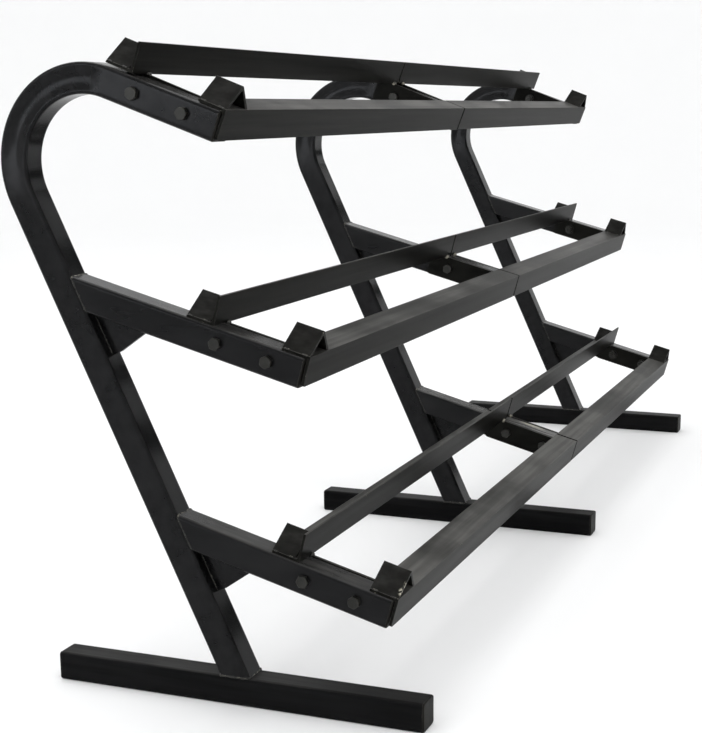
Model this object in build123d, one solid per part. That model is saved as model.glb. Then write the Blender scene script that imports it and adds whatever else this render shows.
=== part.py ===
from build123d import *

import os
from math import cos, radians, sin, sqrt

# A three-tier dumbbell rack in millimetres. X runs along the rack, -Y is its front and +Z is up.
# The origin lies on the floor, in the middle of the rack's length and of its depth.

INCH = 25.4

# Stock that the rack is cut from
TUBE = 2 * INCH
TUBE_WALL = 3.0
TUBE_CORNER = 6.0
ANGLE_LEG = 2 * INCH
ANGLE_THICK = 3 / 16 * INCH
ANGLE_ROOT = 3.5
ANGLE_TOE = 2.2
RAIL_CORNER = 6.0
PLATE_THICK = 1 / 4 * INCH

# Frames: three alike, one at each end and one in the middle
RAIL_LENGTH = (47 + 7 / 8) * INCH
RAIL_SEAM = 5 / 16 * INCH
RAIL_INSET = 4.0
FRAME_PITCH = RAIL_LENGTH + RAIL_SEAM / 2 + RAIL_INSET - TUBE / 2

# Foot tube, measured from the upright's front toe
FOOT_FRONT = 307.0
FOOT_REAR = 369.0

# Upright: it leans back, then bends forward over the top and ends as the top arm
LEAN = 25.0
UPRIGHT_STRAIGHT = 886.0
BEND_INSIDE = 110.0
TOP_SLOPE = 19.5
TOP_ARM = 205.0

# Welded arms: height of the arm's top edge up the upright's front face, and the arm's length
ARM_SLOPE = 15.3
MID_HEIGHT = 735.0
MID_ARM = 434.0
LOW_HEIGHT = 302.0
LOW_ARM = 397.0

# The top shelf rests on the front of its arm and stands a little off it at the rear
TOP_SHELF_SLOPE = 20.7

# Shelf, measured back from the arm's front end
FLANGE_GAP = 4.8
REAR_RAIL = {"top": 163.5, "mid": 163.5, "low": 168.0}
PLATE_FRONT = 10.0
PLATE_REAR = 201.0
PLATE_HEIGHT = 50.0
PLATE_CORNER = 8.0

# End stops: short pieces of angle welded on as an inverted V
STOP_HEIGHT = 38.0
STOP_FROM_END = 1.5
STOP_SETBACK_FRONT = 1.6
STOP_SETBACK_REAR = 4.6
STOP_RIDGE_ROUND = 1.4

# Gusset under each welded arm, from the joint of the arm's top edge and the upright
GUSSET_DROP = 146.0
GUSSET_ALONG_ARM = 149.0
GUSSET_LIP = 18.0

# Half-inch hex bolts, two through each arm
BOLT_FRONT = 59.0
BOLT_REAR = 152.0
BOLT_RADIUS = INCH / 4
HOLE_RADIUS = 6.8
HEX_FLATS = 3 / 4 * INCH
HEX_TURNED = 0.95
HEAD_HEIGHT = 8.0
NUT_HEIGHT = 11.1
NUT_BORE = BOLT_RADIUS + 0.05
WASHER_RADIUS = 13.5
WASHER_THICK = 2.4
BOLT_END = 3.5
SHANK_CHAMFER = 1.0
FIRST_TURN = 17.0
NEXT_TURN = 23.0

# Plastic plugs in the open tube ends
CAP_THICK = 3.0
CAP_SIDE = TUBE - 1.0
CAP_ROUND = 2.0
PLUG_DEPTH = 18.0
PLUG_WALL = 2.5
PLUG_CLEARANCE = 0.2
PLUG_ROUND = 1.0

# Side of the blocks that trim tube ends
TRIM = 200.0

BORE = TUBE - 2 * TUBE_WALL
FRAMES = {"left": -FRAME_PITCH, "center": 0.0, "right": FRAME_PITCH}
BAYS = ("left", "right")
TIERS = ("top", "mid", "low")


def along(angle):
    """Forward and upward parts of a unit step up the upright (angle from plumb)."""
    return Vector(-sin(radians(angle)), cos(radians(angle)))


def ahead(angle):
    """Forward and upward parts of a unit step out of a face that leans back by the angle."""
    return Vector(cos(radians(angle)), sin(radians(angle)))


def down_slope(angle):
    """A unit step forward and down a slope."""
    return Vector(cos(radians(angle)), -sin(radians(angle)))


def off_slope(angle):
    """A unit step up and out of a slope."""
    return Vector(sin(radians(angle)), cos(radians(angle)))


# Points of one frame as (forward of the upright's toe, up from the floor)
TOE = Vector(0, TUBE)
BEND_START = TOE + along(LEAN) * UPRIGHT_STRAIGHT
BEND_CENTRE = BEND_START + ahead(LEAN) * BEND_INSIDE
BEND_MIDDLE = BEND_INSIDE + TUBE / 2
REARMOST = BEND_CENTRE.X - BEND_INSIDE - TUBE
FOREMOST = FOOT_FRONT + CAP_THICK
CENTRE = (FOREMOST + REARMOST) / 2

ARM_ROOT = {"mid": TOE + along(LEAN) * MID_HEIGHT, "low": TOE + along(LEAN) * LOW_HEIGHT}
ARM_LENGTH = {"mid": MID_ARM, "low": LOW_ARM}
ARM_END = {
    "top": BEND_CENTRE + off_slope(TOP_SLOPE) * (BEND_INSIDE + TUBE) + down_slope(TOP_SLOPE) * TOP_ARM,
    "mid": ARM_ROOT["mid"] + down_slope(ARM_SLOPE) * MID_ARM,
    "low": ARM_ROOT["low"] + down_slope(ARM_SLOPE) * LOW_ARM,
}
ARM_ANGLE = {"top": TOP_SLOPE, "mid": ARM_SLOPE, "low": ARM_SLOPE}
SHELF_ANGLE = {"top": TOP_SHELF_SLOPE, "mid": ARM_SLOPE, "low": ARM_SLOPE}


def side_plane(x):
    """The plane of a frame's side view: its x is forward and its y is up."""
    return Plane(origin=(x, CENTRE, 0), x_dir=(0, -1, 0), z_dir=(-1, 0, 0))


def slope_plane(point, angle, x=0.0):
    """A plane on a slope: x is along the rack, y is back up the slope and z is out of it."""
    normal = (0, -sin(radians(angle)), cos(radians(angle)))
    return Plane(origin=(x, CENTRE - point.X, point.Y), x_dir=(1, 0, 0), z_dir=normal)


def arm_plane(tier, x=0.0):
    """Starts at the front end of an arm's top face."""
    return slope_plane(ARM_END[tier], ARM_ANGLE[tier], x)


def shelf_plane(tier, x=0.0):
    """Starts where the shelf rests on the arm's front end."""
    return slope_plane(ARM_END[tier], SHELF_ANGLE[tier], x)


def section_plane(plane, x):
    """Cuts a slope plane across the rack at x: its x is back and its y is out of the slope."""
    return Plane(origin=plane.from_local_coords((x, 0, 0)), x_dir=plane.y_dir, z_dir=plane.x_dir)


def tube_section():
    outside = RectangleRounded(TUBE, TUBE, TUBE_CORNER)
    inside = RectangleRounded(BORE, BORE, TUBE_CORNER - TUBE_WALL)
    return outside - inside


def bolt_places(tier, x):
    """The two bolt axes through an arm, each as a location with its z along the rack."""
    axis = section_plane(arm_plane(tier), x)
    return [axis * Pos(back, -TUBE / 2, 0) for back in (BOLT_FRONT, BOLT_REAR)]


def drill(part, tier, x):
    """Cuts the two bolt holes of a tier through whatever lies near x."""
    for place in bolt_places(tier, x):
        part = part - place * Cylinder(HOLE_RADIUS, 2 * TUBE)
    return part


def make_upright(x):
    """The bent tube, cut level at its foot and left square at the front of the top arm."""
    start = TOE - ahead(LEAN) * (TUBE / 2) - along(LEAN) * TUBE
    bend_from = BEND_START - ahead(LEAN) * (TUBE / 2)
    bend_to = BEND_CENTRE + off_slope(TOP_SLOPE) * BEND_MIDDLE
    bisector = ((bend_from - BEND_CENTRE) + (bend_to - BEND_CENTRE)).normalized()
    crown = BEND_CENTRE + bisector * BEND_MIDDLE
    end = bend_to + down_slope(TOP_SLOPE) * TOP_ARM
    path = Line(start, bend_from) + ThreePointArc(bend_from, crown, bend_to) + Line(bend_to, end)
    path = side_plane(x) * path
    direction = (0, sin(radians(LEAN)), cos(radians(LEAN)))
    base = Plane(origin=(x, CENTRE - start.X, start.Y), x_dir=(1, 0, 0), z_dir=direction)
    tube = sweep(base * tube_section(), path=path)
    below_foot = Pos(x, CENTRE, TUBE - TRIM / 2) * Box(TRIM, 3 * TRIM, TRIM)
    return drill(tube - below_foot, "top", x)


def make_foot(x):
    length = FOOT_FRONT + FOOT_REAR
    rear_end = Plane(origin=(x, CENTRE + FOOT_REAR, TUBE / 2), x_dir=(1, 0, 0), z_dir=(0, -1, 0))
    return extrude(rear_end * tube_section(), amount=length)


def make_arm(tier, x):
    """A welded arm, mitred to lie flat on the upright's leaning front face."""
    plane = arm_plane(tier, x)
    front_end = plane * Pos(0, 0, -TUBE / 2) * Rot(-90, 0, 0)
    tube = extrude(front_end * tube_section(), amount=ARM_LENGTH[tier] + TUBE)
    face = Plane(
        origin=(x, CENTRE - TOE.X, TOE.Y),
        x_dir=(1, 0, 0),
        z_dir=(0, -cos(radians(LEAN)), sin(radians(LEAN))),
    )
    behind_face = face * Pos(0, 0, -TRIM / 2) * Box(TRIM, 12 * TRIM, TRIM)
    return drill(tube - behind_face, tier, x)


def make_gusset(tier, x):
    """The flat plate in the corner under a welded arm."""
    root = ARM_ROOT[tier]
    down = along(LEAN) * -1
    under_arm = off_slope(ARM_SLOPE) * -TUBE
    corner_drop = TUBE / (down.X * -sin(radians(ARM_SLOPE)) + down.Y * -cos(radians(ARM_SLOPE)))
    corner = root + down * corner_drop
    heel = root + down * GUSSET_DROP
    lip = heel + ahead(LEAN) * GUSSET_LIP
    tip = root + down_slope(ARM_SLOPE) * GUSSET_ALONG_ARM + under_arm
    outline = Polyline(corner, heel, lip, tip, close=True)
    return extrude(side_plane(x) * make_face(outline), amount=PLATE_THICK / 2, both=True)


def angle_section(up):
    """The angle iron's section: one leg along x, the other along y if up is 1, or -y if it is -1."""
    corners = [
        (0, 0),
        (ANGLE_LEG, 0),
        (ANGLE_LEG, up * ANGLE_THICK),
        (ANGLE_THICK, up * ANGLE_THICK),
        (ANGLE_THICK, up * ANGLE_LEG),
        (0, up * ANGLE_LEG),
    ]
    section = make_face(Polyline(*corners, close=True))
    root = section.vertices().sort_by_distance((ANGLE_THICK, up * ANGLE_THICK))[0]
    section = fillet(root, ANGLE_ROOT)
    for toe in (corners[2], corners[4]):
        section = fillet(section.vertices().sort_by_distance(toe)[0], ANGLE_TOE)
    return section


def rail_start(bay):
    """Where a bay's rails start along X."""
    if bay == "left":
        return -RAIL_SEAM / 2 - RAIL_LENGTH
    return RAIL_SEAM / 2


def make_front_rail(tier, bay):
    """Lies on the arms and hangs down over their front ends, with its outer lower corner rounded."""
    plane = section_plane(shelf_plane(tier), rail_start(bay))
    section = Pos(-FLANGE_GAP - ANGLE_THICK, ANGLE_THICK) * angle_section(-1)
    rail = extrude(plane * section, amount=RAIL_LENGTH)
    outer_end = 0 if bay == "left" else RAIL_LENGTH
    inward = 1 if bay == "left" else -1
    corner = (-FLANGE_GAP - ANGLE_THICK / 2, ANGLE_THICK - ANGLE_LEG + RAIL_CORNER)
    round_centre = plane.from_local_coords((*corner, outer_end + inward * RAIL_CORNER))
    cut_plane = Plane(origin=round_centre, x_dir=(-inward, 0, 0), z_dir=plane.x_dir * inward)
    square = Rectangle(RAIL_CORNER, RAIL_CORNER, align=(Align.MIN, Align.MAX))
    cutter = extrude(cut_plane * (square - Circle(RAIL_CORNER)), amount=ANGLE_THICK, both=True)
    return rail - cutter


def make_rear_rail(tier, bay):
    """Lies on the arms and stands up at its front edge."""
    plane = section_plane(shelf_plane(tier), rail_start(bay))
    section = Pos(REAR_RAIL[tier], 0) * angle_section(1)
    return extrude(plane * section, amount=RAIL_LENGTH)


def make_stop(tier, rail, bay):
    """An inverted V of angle on the outer end of a rail's lying flange."""
    foot_width = ANGLE_THICK * sqrt(2)
    outline = Polyline(
        (0, STOP_HEIGHT),
        (STOP_HEIGHT, 0),
        (STOP_HEIGHT - foot_width, 0),
        (0, STOP_HEIGHT - foot_width),
        (foot_width - STOP_HEIGHT, 0),
        (-STOP_HEIGHT, 0),
        close=True,
    )
    section = make_face(outline)
    ridge = section.vertices().sort_by_distance((0, STOP_HEIGHT))[0]
    section = fillet(ridge, STOP_RIDGE_ROUND)
    inside = section.vertices().sort_by_distance((0, STOP_HEIGHT - foot_width))[0]
    section = fillet(inside, ANGLE_ROOT)
    if rail == "front":
        rear_edge = ANGLE_LEG - FLANGE_GAP - ANGLE_THICK
        length = ANGLE_LEG - STOP_SETBACK_FRONT
    else:
        rear_edge = REAR_RAIL[tier] + ANGLE_LEG
        length = ANGLE_LEG - ANGLE_THICK - STOP_SETBACK_REAR
    reach = STOP_FROM_END + STOP_HEIGHT
    x = rail_start("left") + reach if bay == "left" else rail_start("right") + RAIL_LENGTH - reach
    plane = shelf_plane(tier)
    base = Plane(
        origin=plane.from_local_coords((x, rear_edge, ANGLE_THICK)),
        x_dir=plane.x_dir,
        z_dir=plane.y_dir * -1,
    )
    return extrude(base * section, amount=length)


def make_plate(tier, bay, end):
    """The bolted end plate that joins a bay's two rails against the side of an arm."""
    if bay == "left":
        frame = "left" if end == "outer" else "center"
    else:
        frame = "right" if end == "outer" else "center"
    x = FRAMES[frame]
    inward = 1 if (bay == "left") == (end == "outer") else -1
    plate = Box(PLATE_THICK, PLATE_REAR - PLATE_FRONT, PLATE_HEIGHT)
    plate = fillet(plate.edges().filter_by(Axis.X), PLATE_CORNER)
    middle = (PLATE_FRONT + PLATE_REAR) / 2
    offset = inward * (TUBE + PLATE_THICK) / 2
    plate = shelf_plane(tier, x) * Pos(offset, middle, -PLATE_HEIGHT / 2) * plate
    return drill(plate, tier, x)


def hexagon(height, chamfer_both):
    """A hex head or nut blank on its washer face, with the corners of its outer face turned off."""
    blank = extrude(RegularPolygon(HEX_FLATS / 2, 6, major_radius=False), amount=height)
    flat_radius = HEX_TURNED * HEX_FLATS / 2
    spread = height * sqrt(3)
    turned = Pos(0, 0, height / 2) * Cone(flat_radius + spread, flat_radius, height)
    blank = blank & turned
    if chamfer_both:
        blank = blank & Pos(0, 0, height / 2) * Cone(flat_radius, flat_radius + spread, height)
    return blank


def bolt_stacks():
    """Each bolt as its place under the head, its grip and the turn of its head."""
    stacks = []
    for tier in TIERS:
        for frame, x in FRAMES.items():
            if frame == "center":
                grip = TUBE + 2 * PLATE_THICK
                face = -TUBE / 2 - PLATE_THICK
            else:
                grip = TUBE + PLATE_THICK
                face = -TUBE / 2
            for place in bolt_places(tier, x):
                turn = FIRST_TURN + NEXT_TURN * len(stacks)
                if frame == "right":
                    under_head = place * Pos(0, 0, -face) * Rot(180, 0, 0)
                else:
                    under_head = place * Pos(0, 0, face)
                stacks.append((under_head, grip, turn))
    return stacks


def make_bolts():
    bolts = []
    for place, grip, turn in bolt_stacks():
        length = grip + WASHER_THICK + NUT_HEIGHT + BOLT_END
        shank = Pos(0, 0, length / 2) * Cylinder(BOLT_RADIUS, length)
        shank = chamfer(shank.edges().sort_by(Axis.Z)[-1], SHANK_CHAMFER)
        head = Rot(180, 0, turn) * hexagon(HEAD_HEIGHT, False)
        bolts.append(place * (shank + head))
    return bolts


def make_washers():
    ring = Cylinder(WASHER_RADIUS, WASHER_THICK) - Cylinder(HOLE_RADIUS, WASHER_THICK)
    return [place * Pos(0, 0, grip + WASHER_THICK / 2) * ring for place, grip, _ in bolt_stacks()]


def make_nuts():
    nuts = []
    for place, grip, turn in bolt_stacks():
        nut = hexagon(NUT_HEIGHT, True) - Pos(0, 0, NUT_HEIGHT / 2) * Cylinder(NUT_BORE, NUT_HEIGHT)
        nuts.append(place * Pos(0, 0, grip + WASHER_THICK) * Rot(0, 0, turn * 2) * nut)
    return nuts


def make_cap():
    """A plug with its rim on the XY plane, its crown towards +Z and its hollow stem towards -Z."""
    corner = TUBE_CORNER - (TUBE - CAP_SIDE) / 2
    crown = extrude(RectangleRounded(CAP_SIDE, CAP_SIDE, corner), amount=CAP_THICK)
    crown = fillet(crown.faces().sort_by(Axis.Z)[-1].edges(), CAP_ROUND)
    stem_side = BORE - 2 * PLUG_CLEARANCE
    stem_inside = stem_side - 2 * PLUG_WALL
    stem = RectangleRounded(stem_side, stem_side, TUBE_CORNER - TUBE_WALL)
    stem = stem - RectangleRounded(stem_inside, stem_inside, PLUG_ROUND)
    return crown + extrude(stem, amount=-PLUG_DEPTH)


def make_foot_caps():
    caps = []
    for x in FRAMES.values():
        for forward, direction in ((FOOT_FRONT, -1), (-FOOT_REAR, 1)):
            end = Plane(origin=(x, CENTRE - forward, TUBE / 2), x_dir=(1, 0, 0), z_dir=(0, direction, 0))
            caps.append(end * make_cap())
    return caps


def make_arm_caps():
    caps = []
    for tier in TIERS:
        for x in FRAMES.values():
            caps.append(arm_plane(tier, x) * Pos(0, 0, -TUBE / 2) * Rot(90, 0, 0) * make_cap())
    return caps


def save(name, shape):
    """Writes one node; a list is a group of separate solids."""
    if isinstance(shape, list):
        shape = Compound(children=shape)
    shape.label = name
    export_step(shape, f"parts/{name}.step")


os.makedirs("parts", exist_ok=True)

for frame, x in FRAMES.items():
    save(f"upright_{frame}", make_upright(x))
    save(f"foot_{frame}", make_foot(x))
    for tier in ("mid", "low"):
        save(f"arm_{tier}_{frame}", make_arm(tier, x))
        save(f"gusset_{tier}_{frame}", make_gusset(tier, x))

for tier in TIERS:
    for bay in BAYS:
        save(f"rail_{tier}_front_{bay}", make_front_rail(tier, bay))
        save(f"rail_{tier}_rear_{bay}", make_rear_rail(tier, bay))
        for rail in ("front", "rear"):
            save(f"stop_{tier}_{rail}_{bay}", make_stop(tier, rail, bay))
        for end in ("outer", "inner"):
            save(f"end_plate_{tier}_{bay}_{end}", make_plate(tier, bay, end))

save("shelf_bolts", make_bolts())
save("shelf_washers", make_washers())
save("shelf_nuts", make_nuts())
save("foot_caps", make_foot_caps())
save("arm_caps", make_arm_caps())
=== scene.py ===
"""The looks of a three-tier dumbbell rack: worn black powder coat, welds, plastic plugs and a pale studio."""

import math

import bmesh
import bpy
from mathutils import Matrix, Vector


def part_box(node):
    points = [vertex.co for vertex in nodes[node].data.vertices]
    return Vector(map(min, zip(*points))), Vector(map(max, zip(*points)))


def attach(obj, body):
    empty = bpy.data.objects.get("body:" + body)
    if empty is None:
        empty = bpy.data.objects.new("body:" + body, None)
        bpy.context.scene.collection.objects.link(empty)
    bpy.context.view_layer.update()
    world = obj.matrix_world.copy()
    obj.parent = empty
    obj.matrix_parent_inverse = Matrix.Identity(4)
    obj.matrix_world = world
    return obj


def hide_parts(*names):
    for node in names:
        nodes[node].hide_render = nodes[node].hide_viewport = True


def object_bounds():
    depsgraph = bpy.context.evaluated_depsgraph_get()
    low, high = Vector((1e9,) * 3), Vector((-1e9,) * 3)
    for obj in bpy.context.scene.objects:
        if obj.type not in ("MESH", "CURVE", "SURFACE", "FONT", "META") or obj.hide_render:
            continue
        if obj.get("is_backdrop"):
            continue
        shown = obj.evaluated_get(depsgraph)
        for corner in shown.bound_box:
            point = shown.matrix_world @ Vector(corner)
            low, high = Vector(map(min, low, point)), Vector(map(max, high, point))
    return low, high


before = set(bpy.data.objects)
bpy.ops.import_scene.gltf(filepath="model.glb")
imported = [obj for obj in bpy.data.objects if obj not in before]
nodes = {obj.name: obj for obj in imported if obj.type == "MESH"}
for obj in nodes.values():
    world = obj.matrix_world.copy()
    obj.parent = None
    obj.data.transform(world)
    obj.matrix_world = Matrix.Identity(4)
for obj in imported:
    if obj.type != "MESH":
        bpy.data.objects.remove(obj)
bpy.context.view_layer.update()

SIDES = ("left", "center", "right")
BAYS = ("left", "right")
TIERS = ("top", "mid", "low")

# Camera: beyond the rack's left end, a little below its top shelf
CAMERA_PLACE = (-3.3178, -1.0960, 0.9865)
CAMERA_TURN_DEG = (77.2985, 0.2644, -69.0390)
CAMERA_LENS = 72.36
CAMERA_SHIFT = (-0.0332, 0.1001)

# Studio: a round floor that curves up into a wall
FLOOR_RADIUS = 9.0
WALL_CURVE = 4.0
WALL_HEIGHT = 5.0
CURVE_STEPS = 16
STUDIO_STEPS = 96
STUDIO_COLOUR = (0.92, 0.92, 0.917)
SKY_COLOUR = (0.985, 0.99, 1.0)
SKY_STRENGTH = 1.18

# Two softboxes: metres, and watts
TOP_LIGHT_PLACE = (-0.6, 0.4, 4.6)
TOP_LIGHT_SIZE = (5.0, 0.4)
TOP_LIGHT_POWER = 60.0
TOP_LIGHT_COLOUR = (1.0, 1.0, 1.0)
SIDE_LIGHT_PLACE = (-5.2, 2.6, 1.5)
SIDE_LIGHT_SIZE = (2.4, 1.2)
SIDE_LIGHT_POWER = 30.0
SIDE_LIGHT_COLOUR = (0.93, 0.96, 1.0)

# Paint, in linear light: cool on the frames, warm on the angle iron
FRAME_DARK = (0.0030, 0.0030, 0.0031)
FRAME_LIGHT = (0.0078, 0.0078, 0.0080)
FRAME_TINT = (0.96, 0.97, 1.0)
SHELF_DARK = (0.0032, 0.0032, 0.0028)
SHELF_LIGHT = (0.0092, 0.0091, 0.0080)
SHELF_TINT = (1.0, 0.995, 0.94)
GLOSSY_IOR = 1.22
MATT_IOR = 1.10

# Finishes: dark and light colours, tint, IOR, and lowest and highest roughness
FRAME_FINISH = (FRAME_DARK, FRAME_LIGHT, FRAME_TINT, GLOSSY_IOR, (0.12, 0.25))
SHELF_FINISH = (SHELF_DARK, SHELF_LIGHT, SHELF_TINT, MATT_IOR, (0.27, 0.43))
FOOT_FINISH = (FRAME_DARK, FRAME_LIGHT, FRAME_TINT, MATT_IOR, (0.32, 0.46))

# What shows where paint is worn by rubbing, on upward faces also a painted sheen; where it is thinned over an
# edge, also a painted edge highlight; and where it is gone, a colour that also paints the glint on weld
# crests
RUB_AND_SHEEN_GREY = (0.110, 0.108, 0.102)
EDGE_GREY_AND_HIGHLIGHT = (0.060, 0.058, 0.052)
BARE_STEEL_AND_GLINT = (0.40, 0.38, 0.31)

# How noise is stretched so that streaks follow a part: small on the axis that they follow
ALONG_UPRIGHT = (1.0, 0.45, 0.45)
ALONG_FOOT = (1.0, 0.05, 1.0)
ALONG_ARM = (1.0, 0.06, 0.3)
ALONG_GUSSET = (1.0, 0.5, 0.5)
ALONG_RAIL = (0.03, 1.0, 1.0)
ALONG_STOP = (1.0, 0.5, 1.0)
ALONG_PLATE = (1.0, 0.1, 0.3)
EVEN = (1.0, 1.0, 1.0)

# How well a rounded normal agrees with the face's own where an edge starts to show, and where it fully does
FLAT_AGREES = 0.985
EDGE_AGREES = 0.90

# Steel and plastic, in linear light
OXIDE_DARK = (0.0034, 0.0034, 0.0030)
OXIDE_LIGHT = (0.0120, 0.0119, 0.0105)
PLASTIC_DARK = (0.0035, 0.0034, 0.0028)
PLASTIC_LIGHT = (0.0070, 0.0067, 0.0056)

# An upright's tube, and its bend: the inside radius, and where it starts and ends as an angle from +Y
# towards +Z
TUBE_CORNER = 0.006
TUBE_WALL = 0.003
LEAN = math.radians(25.0)
TOP_SLOPE = math.radians(19.5)
BEND_INSIDE = 0.110
BEND_FROM = -LEAN
BEND_TO = math.pi / 2 + TOP_SLOPE

# How deep bending has pulled in the tube's sides, the angles over which that fades in and out, its ripples
# in a full turn and their share of its depth
BEND_DENT = 0.0040
DENT_FADE_IN = 0.75
DENT_FADE_OUT = 0.30
BEND_RIPPLES = 11.0
RIPPLE_SHARE = 0.06

# How finely the tubes are drawn
SIDE_STEPS = 14
CORNER_STEPS = 5
BEND_STEPS = 120

# Angles above which an edge of a drawn tube stays sharp, and a CAD edge is rounded
TUBE_SHARP = math.radians(40)
CUT_SHARP = math.radians(50)

# How far cut edges are rounded
RAIL_EDGE = 0.0009
STOP_EDGE = 0.0009
GUSSET_EDGE = 0.0008
PLATE_EDGE = 0.0007
BOLT_EDGE = 0.0004

# Weld beads: radius, spacing of the ripples and how finely they are drawn
BEAD = 0.0026
SMALL_BEAD = 0.0017
TACK = 0.0050
RIPPLE = 0.0042
BEAD_STEP = 0.0011
BEAD_SIDES = 10

# How far inside a tube's outline its bead runs
FOOT_BEAD_INSET = 0.0016
ARM_BEAD_INSET = 0.0022

# Shares of a seam: what is left bare at each end, and where the first bead on a stop's toe ends
SEAM_MARGIN = 0.04
TOE_BEAD_END = 0.30

# Gaps from an end plate's beads to its ends, to the front rail's flange and to the rear rail's heel, and how
# far the tack reaches past the plate and lies in front of that heel
PLATE_END_MARGIN = 0.010
FLANGE_GAP = 0.004
HEEL_GAP = 0.002
TACK_OVERHANG = 0.0040
TACK_FORWARD = 0.0012

# How near a corner of a mesh lies to a plane that it is on
ON_PLANE = 0.0002


class Graph:
    """A material's node tree, with short calls for the nodes that the finishes share."""

    def __init__(self, name):
        self.material = bpy.data.materials.new(name)
        self.material.use_nodes = True
        self.tree = self.material.node_tree
        self.shader = self.tree.nodes["Principled BSDF"]
        self.position = self.node("ShaderNodeTexCoord").outputs["Object"]
        self.normal = self.node("ShaderNodeNewGeometry").outputs["Normal"]

    def node(self, kind, **settings):
        made = self.tree.nodes.new(kind)
        for name, value in settings.items():
            setattr(made, name, value)
        return made

    def feed(self, socket, value):
        if isinstance(value, bpy.types.NodeSocket):
            self.tree.links.new(value, socket)
        else:
            socket.default_value = value

    def math(self, operation, a, b=0.0, c=0.0):
        made = self.node("ShaderNodeMath", operation=operation)
        for socket, value in zip(made.inputs, (a, b, c)):
            self.feed(socket, value)
        return made.outputs[0]

    def times(self, *values):
        product = values[0]
        for value in values[1:]:
            product = self.math("MULTIPLY", product, value)
        return product

    def vector(self, operation, a, b=(0.0, 0.0, 0.0)):
        made = self.node("ShaderNodeVectorMath", operation=operation)
        self.feed(made.inputs[0], a)
        self.feed(made.inputs[1], b)
        name = "Value" if operation in ("LENGTH", "DISTANCE", "DOT_PRODUCT") else "Vector"
        return made.outputs[name]

    def along(self, axis, vector):
        made = self.node("ShaderNodeSeparateXYZ")
        self.feed(made.inputs[0], vector)
        return made.outputs[axis]

    def step(self, value, low, high):
        """0 below low, 1 above high and smooth in between; low above high turns it round."""
        made = self.node("ShaderNodeMapRange", interpolation_type="SMOOTHSTEP")
        flip = low > high
        self.feed(made.inputs["Value"], value)
        self.feed(made.inputs["From Min"], high if flip else low)
        self.feed(made.inputs["From Max"], low if flip else high)
        self.feed(made.inputs["To Min"], 1.0 if flip else 0.0)
        self.feed(made.inputs["To Max"], 0.0 if flip else 1.0)
        return made.outputs["Result"]

    def span(self, value, low, high):
        """Carries 0 to 1 over to low to high."""
        made = self.node("ShaderNodeMapRange")
        self.feed(made.inputs["Value"], value)
        self.feed(made.inputs["To Min"], low)
        self.feed(made.inputs["To Max"], high)
        return made.outputs["Result"]

    def noise(self, scale, detail=3.0, stretch=EVEN, shift=(0.0, 0.0, 0.0)):
        place = self.vector("ADD", self.vector("MULTIPLY", self.position, stretch), shift)
        made = self.node("ShaderNodeTexNoise")
        self.feed(made.inputs["Vector"], place)
        self.feed(made.inputs["Scale"], scale)
        self.feed(made.inputs["Detail"], detail)
        return made.outputs["Fac"]

    def mix(self, share, a, b):
        made = self.node("ShaderNodeMix", data_type="RGBA")
        self.feed(made.inputs["Factor"], share)
        self.feed(made.inputs["A"], (*a, 1.0) if isinstance(a, tuple) else a)
        self.feed(made.inputs["B"], (*b, 1.0) if isinstance(b, tuple) else b)
        return made.outputs["Result"]

    def edges(self, radius):
        """1 on edges sharper than the radius and 0 on flats."""
        rounded = self.node("ShaderNodeBevel", samples=4)
        self.feed(rounded.inputs["Radius"], radius)
        agree = self.vector("DOT_PRODUCT", rounded.outputs["Normal"], self.normal)
        return self.step(agree, FLAT_AGREES, EDGE_AGREES)

    def bump(self, height, distance, strength=1.0, under=None):
        made = self.node("ShaderNodeBump")
        self.feed(made.inputs["Height"], height)
        self.feed(made.inputs["Distance"], distance)
        self.feed(made.inputs["Strength"], strength)
        if under is not None:
            self.feed(made.inputs["Normal"], under)
        return made.outputs["Normal"]

    def finish(self, colour, roughness, normal, metallic=0.0, ior=1.40, tint=(1.0, 1.0, 1.0)):
        self.feed(self.shader.inputs["Base Color"], colour)
        self.feed(self.shader.inputs["Roughness"], roughness)
        self.feed(self.shader.inputs["Normal"], normal)
        self.feed(self.shader.inputs["Metallic"], metallic)
        self.shader.inputs["IOR"].default_value = ior
        self.shader.inputs["Specular Tint"].default_value = (*tint, 1.0)
        return self.material


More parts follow.
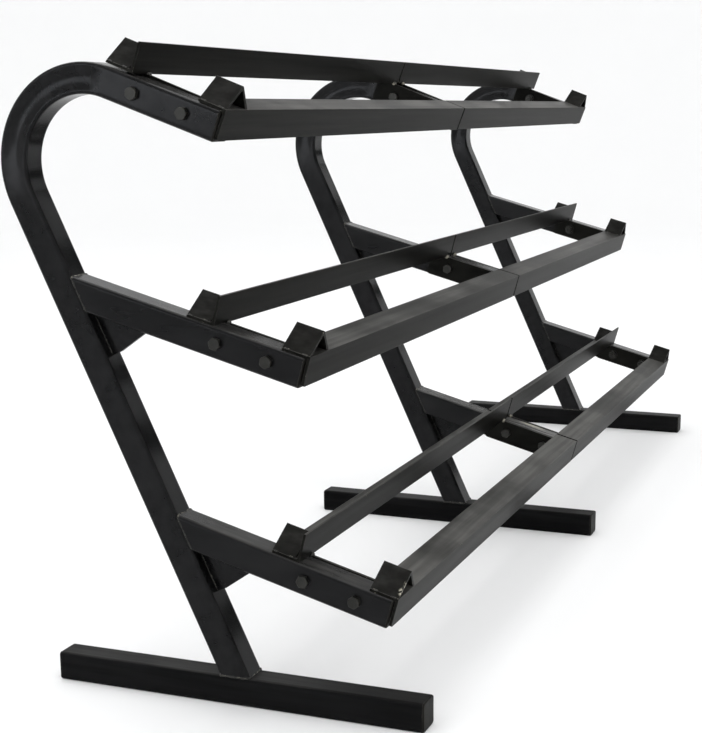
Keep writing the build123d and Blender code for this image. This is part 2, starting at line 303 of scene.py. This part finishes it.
def powder_coat(name, finish, along, rub_and_sheen, wear, spots=()):
    """Black powder coat. finish and along are as listed above; the amount after along is how grey its upward
    faces turn, as paint worn by rubbing and as a painted sheen;
    wear is how often edges show steel, and spots are (place, stretch, radius, share) painted in bare steel
    colour: paint worn through, and on the low middle arm a painted glint as well."""
    dark, light, tint, ior, gloss = finish
    g = Graph(name)
    cloud = g.noise(11.0, 4.0, along)
    mottle = g.noise(110.0, 2.0, along)
    tone = g.step(g.math("MULTIPLY_ADD", mottle, 0.4, g.times(cloud, 0.6)), 0.38, 0.62)
    colour = g.mix(tone, dark, light)

    # Upward faces get the grey rub: partly paint worn by rubbing, partly a painted sheen on tops that face
    # the light
    upward = g.step(g.along("Z", g.normal), 0.55, 0.93)
    streaks = g.noise(75.0, 3.0, along, shift=(3.0, 1.0, 2.0))
    patches = g.noise(6.0, 3.0, shift=(5.0, 2.0, 7.0))
    fine = g.span(g.step(streaks, 0.34, 0.70), 0.50, 1.0)
    rub = g.times(fine, g.span(g.step(patches, 0.34, 0.62), 0.35, 1.0))
    top_rub_and_sheen = g.times(rub, upward, rub_and_sheen)
    rub_side = g.times(g.step(streaks, 0.52, 0.76), 0.04 * rub_and_sheen)
    rub_and_sheen_all = g.math("ADD", top_rub_and_sheen, rub_side)
    colour = g.mix(rub_and_sheen_all, colour, RUB_AND_SHEEN_GREY)

    # Edges: a lighter grey where the paint is thinned, which is also a painted edge highlight; then chips of
    # bare steel
    edge = g.edges(0.0013)
    gaps = g.step(g.noise(48.0, 3.0, along, shift=(2.0, 6.0, 3.0)), 0.36, 0.62)
    thinned_and_highlit = g.times(edge, gaps, 0.75)
    colour = g.mix(thinned_and_highlit, colour, EDGE_GREY_AND_HIGHLIGHT)
    chips = g.noise(210.0, 4.0, shift=(1.0, 8.0, 4.0))
    worn = g.times(edge, g.step(chips, 0.70 - 0.14 * wear, 0.75 - 0.11 * wear))
    for place, stretch, radius, share in spots:
        offset = g.vector("MULTIPLY", g.vector("SUBTRACT", g.position, place), stretch)
        near = g.step(g.vector("LENGTH", offset), radius, radius * 0.35)
        bare = g.step(chips, 0.62 - 0.36 * share, 0.72 - 0.30 * share)
        worn = g.math("MAXIMUM", worn, g.times(near, bare))
    colour = g.mix(worn, colour, BARE_STEEL_AND_GLINT)

    roughness = g.span(g.noise(30.0, 3.0, along), *gloss)
    roughness = g.math("MULTIPLY_ADD", rub_and_sheen_all, 0.12, roughness)
    waves = g.bump(g.noise(22.0, 1.0, along), 0.0006, 0.25)
    peel = g.bump(g.noise(620.0, 2.0), 0.00012, 0.50, waves)
    scratched = g.bump(streaks, 0.00006, 0.3, peel)
    stepped = g.bump(g.math("SUBTRACT", 1.0, worn), 0.0001, 0.6, scratched)
    return g.finish(colour, roughness, stepped, g.times(worn, 0.4), ior, tint)


def frame_coat(name, along, rub_and_sheen, wear=0.3, spots=()):
    return powder_coat(name, FRAME_FINISH, along, rub_and_sheen, wear, spots)


def shelf_coat(name, along, rub_and_sheen, wear=0.4, spots=()):
    return powder_coat(name, SHELF_FINISH, along, rub_and_sheen, wear, spots)


def moulded_plastic(name):
    g = Graph(name)
    colour = g.mix(g.step(g.noise(30.0, 4.0), 0.35, 0.65), PLASTIC_DARK, PLASTIC_LIGHT)
    # Lighter grey along the plug's edges: a painted edge highlight, with wear
    colour = g.mix(g.times(g.edges(0.002), 0.5), colour, EDGE_GREY_AND_HIGHLIGHT)
    roughness = g.span(g.noise(60.0, 3.0), 0.42, 0.62)
    grain = g.bump(g.noise(900.0, 3.0), 0.00012, 0.5)
    return g.finish(colour, roughness, grain, ior=1.18, tint=SHELF_TINT)


def blackened_steel(name):
    g = Graph(name)
    colour = g.mix(g.step(g.noise(55.0, 4.0), 0.35, 0.68), OXIDE_DARK, OXIDE_LIGHT)
    chips = g.step(g.noise(420.0, 3.0), 0.50, 0.64)
    worn = g.times(g.edges(0.0008), chips, 0.4)
    colour = g.mix(worn, colour, BARE_STEEL_AND_GLINT)
    roughness = g.span(g.noise(130.0, 3.0), 0.24, 0.42)
    forged = g.bump(g.noise(260.0, 3.0), 0.00015, 0.5)
    return g.finish(colour, roughness, forged, g.times(worn, 0.8), ior=1.35, tint=SHELF_TINT)


def weld_paint(name, glint, sideways, bare_from=0.48):
    """Paint over a weld, with a painted glint on its crests in bare steel colour: by glint facing up, and by
    that share sideways. A lower bare_from leaves less of it painted."""
    g = Graph(name)
    colour = g.mix(g.step(g.noise(40.0, 3.0), 0.3, 0.7), SHELF_DARK, SHELF_LIGHT)
    crest = g.step(g.noise(190.0, 3.0, shift=(2.0, 5.0, 1.0)), bare_from, bare_from + 0.16)
    # Painted glint: brightest on the crests' faces that look up, where the light falls
    upward = g.span(g.step(g.along("Z", g.normal), 0.35, 0.90), sideways, 1.0)
    shine = g.times(crest, upward, glint)
    colour = g.mix(shine, colour, BARE_STEEL_AND_GLINT)
    roughness = g.span(g.noise(85.0, 2.0), 0.18, 0.32)
    lumps = g.bump(g.noise(330.0, 3.0), 0.0003, 0.6)
    return g.finish(colour, roughness, lumps, g.times(shine, 0.6), tint=SHELF_TINT)


def pale_paper(name):
    g = Graph(name)
    shaded = tuple(0.985 * value for value in STUDIO_COLOUR)
    colour = g.mix(g.noise(1.5, 3.0), STUDIO_COLOUR, shaded)
    fibre = g.bump(g.noise(700.0, 3.0), 0.0001, 0.15)
    return g.finish(colour, 0.95, fibre, ior=1.2)


def add_object(name, data):
    made = bpy.data.objects.new(name, data)
    bpy.context.scene.collection.objects.link(made)
    return made


def smooth_object(name, mesh):
    """An object, shaded smooth, from a bmesh, which this uses up."""
    data = bpy.data.meshes.new(name)
    mesh.to_mesh(data)
    mesh.free()
    data.shade_smooth()
    return add_object(name, data)


def set_material(piece, material):
    piece.data.materials.clear()
    piece.data.materials.append(material)


def soften(piece, width):
    """A narrow rounding on a cut edge, which stays inside the piece's own box."""
    bevel = piece.modifiers.new("edge_rounding", "BEVEL")
    bevel.width = width
    bevel.segments = 2
    bevel.limit_method = "ANGLE"
    bevel.angle_limit = CUT_SHARP
    bevel.harden_normals = True


def arm_glint_and_wear():
    """The middle frame's low arm, with a bright streak between its rails painted in bare steel colour: part
    painted glint, part paint worn where dumbbells meet it.
    """
    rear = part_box("rail_low_rear_left")[0]
    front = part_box("rail_low_front_left")[1]
    place = (0.012, (rear.y + front.y) / 2 + 0.008, (rear.z + front.z) / 2 - 0.001)
    # The streak: a painted glint and worn paint, in bare steel colour
    streak = (place, (1.0, 0.28, 0.28), 0.011, 1.0)
    return frame_coat("paint_arm_glint_and_wear", ALONG_ARM, rub_and_sheen=0.9, spots=(streak,))


def stop_worn_at_corner():
    """The low front stop at the left end, knocked through to steel down its front edge."""
    low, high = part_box("stop_low_front_left")
    toe = (low.x + 0.010, low.y + 0.008, low.z + 0.008)
    above = (low.x + 0.019, low.y + 0.005, low.z + 0.018)
    spots = ((toe, (1.0, 1.3, 0.8), 0.0080, 0.55), (above, (0.8, 1.8, 0.55), 0.0060, 0.40))
    return shelf_coat("paint_stop_knocked", ALONG_STOP, rub_and_sheen=0.9, wear=0.3, spots=spots)


def tube_outline(half, corner):
    """A rounded square, as (sideways, outward) points in order round it."""
    flat = half - corner
    points = []
    for quarter in range(4):
        turn = math.pi / 2 * quarter
        across = Vector((math.cos(turn), math.sin(turn)))
        along = Vector((-math.sin(turn), math.cos(turn)))
        for i in range(SIDE_STEPS):
            points.append(across * half + along * flat * (2 * i / SIDE_STEPS - 1))
        for i in range(CORNER_STEPS):
            angle = turn + math.pi / 2 * i / CORNER_STEPS
            points.append((across + along) * flat + Vector((math.cos(angle), math.sin(angle))) * corner)
    return points


def fade(share):
    """0 up to 0, 1 from 1 on and smooth in between."""
    share = min(1.0, max(0.0, share))
    return share * share * (3 - 2 * share)


def dent_depth(angle, across):
    """How far a side is pulled in, at an angle round the bend and a place from 0 to 1 across the side."""
    ends = fade((angle - BEND_FROM) / DENT_FADE_IN) * fade((BEND_TO - angle) / DENT_FADE_OUT)
    ripple = 1.0 + RIPPLE_SHARE * math.sin(BEND_RIPPLES * angle)
    return BEND_DENT * ends * ripple * max(0.0, math.sin(math.pi * across)) ** 1.5


def tube_ring(outline, centre, half, angle):
    """The tube's outline where it has turned to an angle round the bend, dented."""
    outward = Vector((0, math.cos(angle), math.sin(angle)))
    ring = []
    for sideways, out in outline:
        kept = 1.0 - dent_depth(angle, (out + half) / (2 * half)) / half
        place = centre + outward * (BEND_INSIDE + half + out)
        ring.append(place + Vector((sideways * kept, 0, 0)))
    return ring


def tube_rings(side):
    """An upright's outline at every station: up its outside to the front, and back down inside its bore."""
    low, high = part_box(f"upright_{side}")
    half = (high.x - low.x) / 2
    outside = BEND_INSIDE + 2 * half
    centre = Vector(((low.x + high.x) / 2, high.y - outside, high.z - outside))
    lean = Vector((0, math.sin(LEAN), math.cos(LEAN)))
    forward = Vector((0, -math.cos(TOP_SLOPE), -math.sin(TOP_SLOPE)))
    reach = max((p - centre).dot(forward) for p in points_of(f"upright_{side}") if p.z > centre.z)
    turns = [BEND_FROM + (BEND_TO - BEND_FROM) * i / BEND_STEPS for i in range(BEND_STEPS + 1)]

    def skin(outline):
        bend = [tube_ring(outline, centre, half, angle) for angle in turns]
        foot = [p - lean * ((p.z - low.z) / lean.z) for p in bend[0]]
        front = [p + forward * reach for p in bend[-1]]
        return [foot, *bend, front]

    outer = skin(tube_outline(half, TUBE_CORNER))
    bore = skin(tube_outline(half - TUBE_WALL, TUBE_CORNER - TUBE_WALL))
    return [*outer, *reversed(bore)]


def tube_piece(side, coat):
    """Stands in for an upright, whose CAD node has flat sides in the bend."""
    mesh = bmesh.new()
    rings = [[mesh.verts.new(place) for place in ring] for ring in tube_rings(side)]
    count = len(rings[0])
    for near, far in zip(rings, [*rings[1:], rings[0]]):
        for i in range(count):
            after = (i + 1) % count
            mesh.faces.new((near[i], near[after], far[after], far[i]))
    bmesh.ops.recalc_face_normals(mesh, faces=mesh.faces)
    piece = smooth_object(f"tube_{side}", mesh)
    piece.data.set_sharp_from_angle(angle=TUBE_SHARP)
    even = piece.modifiers.new("even_shading", "WEIGHTED_NORMAL")
    even.keep_sharp = True
    set_material(piece, coat)
    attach(piece, "root")
    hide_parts(f"upright_{side}")


def paint_uprights():
    """Paints the uprights and feet, and draws the tubes that stand in for the uprights."""
    foot = powder_coat("paint_foot", FOOT_FINISH, ALONG_FOOT, rub_and_sheen=0.25, wear=0.3)
    coat = frame_coat("paint_upright", ALONG_UPRIGHT, rub_and_sheen=0.4)
    for side in SIDES:
        set_material(nodes[f"upright_{side}"], coat)
        set_material(nodes[f"foot_{side}"], foot)
        tube_piece(side, coat)


def paint_arms():
    arm = frame_coat("paint_arm", ALONG_ARM, rub_and_sheen=0.5)
    arm_with_glint = arm_glint_and_wear()
    gusset = frame_coat("paint_gusset", ALONG_GUSSET, rub_and_sheen=0.2, wear=0.4)
    for side in SIDES:
        for tier in ("mid", "low"):
            has_glint_streak = tier == "low" and side == "center"
            set_material(nodes[f"arm_{tier}_{side}"], arm_with_glint if has_glint_streak else arm)
            set_material(nodes[f"gusset_{tier}_{side}"], gusset)
            soften(nodes[f"gusset_{tier}_{side}"], GUSSET_EDGE)


def paint_shelves():
    rail = shelf_coat("paint_rail", ALONG_RAIL, rub_and_sheen=1.0)
    stop = shelf_coat("paint_stop", ALONG_STOP, rub_and_sheen=0.6, wear=0.2)
    knocked_stop = stop_worn_at_corner()
    plate = shelf_coat("paint_plate", ALONG_PLATE, rub_and_sheen=0.4)
    for tier in TIERS:
        for bay in BAYS:
            for row in ("front", "rear"):
                set_material(nodes[f"rail_{tier}_{row}_{bay}"], rail)
                soften(nodes[f"rail_{tier}_{row}_{bay}"], RAIL_EDGE)
                is_knocked = (tier, row, bay) == ("low", "front", "left")
                set_material(nodes[f"stop_{tier}_{row}_{bay}"], knocked_stop if is_knocked else stop)
                soften(nodes[f"stop_{tier}_{row}_{bay}"], STOP_EDGE)
            for end in ("outer", "inner"):
                set_material(nodes[f"end_plate_{tier}_{bay}_{end}"], plate)
                soften(nodes[f"end_plate_{tier}_{bay}_{end}"], PLATE_EDGE)


def finish_small_parts():
    fastener = blackened_steel("fastener_black_oxide")
    for node in ("shelf_bolts", "shelf_washers", "shelf_nuts"):
        set_material(nodes[node], fastener)
        soften(nodes[node], BOLT_EDGE)
    plastic = moulded_plastic("plug_plastic")
    for node in ("foot_caps", "arm_caps"):
        set_material(nodes[node], plastic)


def along_path(points, step):
    """Points a step apart on a path of straight runs, with the path's direction at each."""
    found = []
    for start, end in zip(points[:-1], points[1:]):
        run = end - start
        count = max(1, round(run.length / step))
        found += [(start + run * (i / count), run.normalized()) for i in range(count)]
    found.append((points[-1], found[-1][1]))
    return found


def nearest_offset(near, far):
    """How far the next ring's numbering has turned against this one's."""
    return min(range(BEAD_SIDES), key=lambda turn: (far[turn].co - near[0].co).length)


def bead_size(run, left, radius):
    """A bead's radius at a point: tapered at its two ends, rippled and a little uneven."""
    taper = min(1.0, math.sqrt(max(0.0, min(run, left)) / (2 * radius)) + 0.15)
    wave = abs(math.sin(math.pi * run / RIPPLE))
    wander = 0.10 * math.sin(run * 310.0) + 0.06 * math.sin(run * 810.0)
    return radius * taper * (0.84 + 0.22 * wave + wander)


def add_bead(mesh, points, radius):
    """One bead, drawn as rings round its path."""
    places = along_path(points, BEAD_STEP)
    rings = []
    for index, (place, heading) in enumerate(places):
        size = bead_size(index * BEAD_STEP, (len(places) - 1 - index) * BEAD_STEP, radius)
        side = heading.orthogonal().normalized()
        other = heading.cross(side)
        ring = []
        for turn in range(BEAD_SIDES):
            angle = 2 * math.pi * turn / BEAD_SIDES
            ring.append(mesh.verts.new(place + (side * math.cos(angle) + other * math.sin(angle)) * size))
        rings.append(ring)
    for near, far in zip(rings[:-1], rings[1:]):
        start = nearest_offset(near, far)
        for turn in range(BEAD_SIDES):
            a, b = near[turn], near[(turn + 1) % BEAD_SIDES]
            c, d = far[(turn + 1 + start) % BEAD_SIDES], far[(turn + start) % BEAD_SIDES]
            mesh.faces.new((a, b, c, d))
    mesh.faces.new(list(reversed(rings[0])))
    mesh.faces.new(rings[-1])


def bead_piece(name, beads, material):
    """Beads, each a path and a radius, as one piece."""
    mesh = bmesh.new()
    for points, radius in beads:
        add_bead(mesh, points, radius)
    bmesh.ops.recalc_face_normals(mesh, faces=mesh.faces)
    piece = smooth_object(name, mesh)
    set_material(piece, material)
    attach(piece, "root")


def points_of(node):
    return [vertex.co for vertex in nodes[node].data.vertices]


def end_corners(node, origin, normal, inset):
    """The four corners, moved in by inset, of the end of a node that lies in a plane."""
    flat = [p for p in points_of(node) if abs((p - origin).dot(normal)) < ON_PLANE]
    across = Vector((1, 0, 0))
    up = normal.cross(across)
    xs = [p.dot(across) for p in flat]
    ups = [p.dot(up) for p in flat]
    base = normal * origin.dot(normal)
    left, right = min(xs) + inset, max(xs) - inset
    low, high = min(ups) + inset, max(ups) - inset
    return [base + across * x + up * y for x, y in ((left, low), (right, low), (right, high), (left, high))]


def upright_front(side):
    """A point on an upright's leaning front face, and the face's outward direction."""
    floor_of_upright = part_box(f"upright_{side}")[0].z
    lowest = [p for p in points_of(f"upright_{side}") if p.z < floor_of_upright + ON_PLANE]
    toe = min(lowest, key=lambda p: p.y)
    return Vector((0, toe.y, toe.z)), Vector((0, -math.cos(LEAN), math.sin(LEAN)))


def frame_beads(side):
    """Beads round the upright's foot, round each arm's root and beside each gusset."""
    floor_of_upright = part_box(f"upright_{side}")[0].z
    up = Vector((0, 0, 1))
    foot = end_corners(f"upright_{side}", Vector((0, 0, floor_of_upright)), up, FOOT_BEAD_INSET)
    beads = [([*foot, foot[0]], BEAD)]
    toe, forward = upright_front(side)
    for tier in ("mid", "low"):
        root = end_corners(f"arm_{tier}_{side}", toe, forward, ARM_BEAD_INSET)
        beads.append(([*root, root[0]], BEAD))
        beads += gusset_beads(f"gusset_{tier}_{side}", toe, forward)
    return beads


def gusset_beads(node, toe, forward):
    """Beads on both sides of a gusset, along its edge on the upright and along its edge on the arm."""
    points = points_of(node)
    low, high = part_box(node)
    on_upright = [p for p in points if abs((p - toe).dot(forward)) < ON_PLANE]
    heel = min(on_upright, key=lambda p: p.z)
    crotch = max(on_upright, key=lambda p: p.z)
    tip = min(points, key=lambda p: p.y)
    beads = []
    for x in (low.x, high.x):
        for end in (heel, tip):
            start = Vector((x, crotch.y, crotch.z))
            stop = Vector((x, end.y, end.z))
            seam = [start.lerp(stop, SEAM_MARGIN), start.lerp(stop, 1 - SEAM_MARGIN)]
            beads.append((seam, SMALL_BEAD))
    return beads


def stop_beads(tier, bay):
    """Short beads at both toes of each stop, at the front and rear of its base."""
    beads = []
    for row in ("front", "rear"):
        points = points_of(f"stop_{tier}_{row}_{bay}")
        low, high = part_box(f"stop_{tier}_{row}_{bay}")
        for x in (low.x, high.x):
            toe = [p for p in points if abs(p.x - x) < 2 * ON_PLANE]
            front = min(toe, key=lambda p: p.y)
            rear = max(toe, key=lambda p: p.y)
            for near, far in ((SEAM_MARGIN, TOE_BEAD_END), (1 - TOE_BEAD_END, 1 - SEAM_MARGIN)):
                beads.append(([front.lerp(rear, near), front.lerp(rear, far)], SMALL_BEAD))
    return beads


def plate_beads(tier, bay, end):
    """Beads from an end plate up to both rails, and apart from them the tack in front of the rear rail's
    heel."""
    rear_rail = points_of(f"rail_{tier}_rear_{bay}")
    heel = min(rear_rail, key=lambda p: p.z)
    rear_toe = max(rear_rail, key=lambda p: p.y)
    low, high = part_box(f"end_plate_{tier}_{bay}_{end}")
    front_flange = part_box(f"rail_{tier}_front_{bay}")[1].y

    def on_slope(x, y):
        rise = (rear_toe.z - heel.z) / (rear_toe.y - heel.y)
        return Vector((x, y, heel.z + rise * (y - heel.y)))

    faces_bay_low = (bay == "left") == (end == "inner")
    x = low.x if faces_bay_low else high.x
    front_run = [on_slope(x, low.y + PLATE_END_MARGIN), on_slope(x, front_flange - FLANGE_GAP)]
    rear_run = [on_slope(x, heel.y + HEEL_GAP), on_slope(x, high.y - PLATE_END_MARGIN)]
    ends = (low.x - TACK_OVERHANG, high.x + TACK_OVERHANG)
    across = [on_slope(end_x, heel.y - TACK_FORWARD) for end_x in ends]
    return [(front_run, SMALL_BEAD), (rear_run, SMALL_BEAD)], (across, TACK)


def make_welds():
    # Weld paint with a painted glint on its crests: stronger on the frames, faint on stops and plates, and on
    # the heel tacks bare steel with a painted glint on every face
    painted = weld_paint("weld_painted_glint", glint=0.55, sideways=0.05)
    faint_glint = weld_paint("weld_faint_glint", glint=0.22, sideways=0.05)
    bare = weld_paint("weld_bare_glint", glint=0.70, sideways=0.8, bare_from=0.34)
    for side in SIDES:
        bead_piece(f"welds_{side}", frame_beads(side), painted)
    for tier in TIERS:
        for bay in BAYS:
            bead_piece(f"stop_welds_{tier}_{bay}", stop_beads(tier, bay), faint_glint)
            outer_runs, outer_tack = plate_beads(tier, bay, "outer")
            inner_runs, inner_tack = plate_beads(tier, bay, "inner")
            painted_over = [*outer_runs, *inner_runs, outer_tack]
            bead_piece(f"plate_welds_{tier}_{bay}", painted_over, faint_glint)
            bead_piece(f"heel_tack_{tier}_{bay}", [inner_tack], bare)


def make_studio():
    """A floor that sweeps up into a wall all round, so that there is no hard horizon."""
    profile = [(FLOOR_RADIUS / 2, 0.0)]
    for step in range(CURVE_STEPS + 1):
        angle = math.pi / 2 * step / CURVE_STEPS
        profile.append((FLOOR_RADIUS + WALL_CURVE * math.sin(angle), WALL_CURVE * (1 - math.cos(angle))))
    profile.append((FLOOR_RADIUS + WALL_CURVE, WALL_CURVE + WALL_HEIGHT))
    mesh = bmesh.new()
    hub = mesh.verts.new((0.0, 0.0, 0.0))
    turns = [2 * math.pi * i / STUDIO_STEPS for i in range(STUDIO_STEPS)]
    rings = []
    for radius, height in profile:
        rings.append([mesh.verts.new((radius * math.cos(t), radius * math.sin(t), height)) for t in turns])
    for i in range(STUDIO_STEPS):
        after = (i + 1) % STUDIO_STEPS
        mesh.faces.new((hub, rings[0][i], rings[0][after]))
        for near, far in zip(rings[:-1], rings[1:]):
            mesh.faces.new((near[i], far[i], far[after], near[after]))
    studio = smooth_object("studio_floor", mesh)
    set_material(studio, pale_paper("studio_paper"))
    studio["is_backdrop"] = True


def add_softbox(name, place, aim, size, power, colour):
    light = bpy.data.lights.new(name, "AREA")
    light.shape = "RECTANGLE"
    light.size, light.size_y = size
    light.energy = power
    light.color = colour
    lamp = add_object(name, light)
    lamp.location = place
    lamp.rotation_mode = "QUATERNION"
    lamp.rotation_quaternion = (Vector(aim) - Vector(place)).to_track_quat("-Z", "Y")


def light_studio():
    """An even sky, a long box over the rack and a box behind its left end, aimed at the bend there."""
    world = bpy.data.worlds.new("studio_sky")
    world.use_nodes = True
    sky = world.node_tree.nodes["Background"]
    sky.inputs["Color"].default_value = (*SKY_COLOUR, 1.0)
    sky.inputs["Strength"].default_value = SKY_STRENGTH
    bpy.context.scene.world = world
    low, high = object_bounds()
    middle = (0.0, 0.0, (low[2] + high[2]) / 2)
    left_bend = (low[0], 0.0, high[2])
    add_softbox("top_light", TOP_LIGHT_PLACE, middle, TOP_LIGHT_SIZE, TOP_LIGHT_POWER, TOP_LIGHT_COLOUR)
    add_softbox(
        "side_light", SIDE_LIGHT_PLACE, left_bend, SIDE_LIGHT_SIZE, SIDE_LIGHT_POWER, SIDE_LIGHT_COLOUR
    )


def place_camera():
    data = bpy.data.cameras.new("camera")
    data.lens = CAMERA_LENS
    data.shift_x, data.shift_y = CAMERA_SHIFT
    camera = add_object("camera", data)
    camera.location = CAMERA_PLACE
    camera.rotation_euler = [math.radians(angle) for angle in CAMERA_TURN_DEG]
    bpy.context.scene.camera = camera


place_camera()
paint_uprights()
paint_arms()
paint_shelves()
finish_small_parts()
make_welds()
make_studio()
light_studio()
bpy.context.scene.view_settings.view_transform = "Standard"
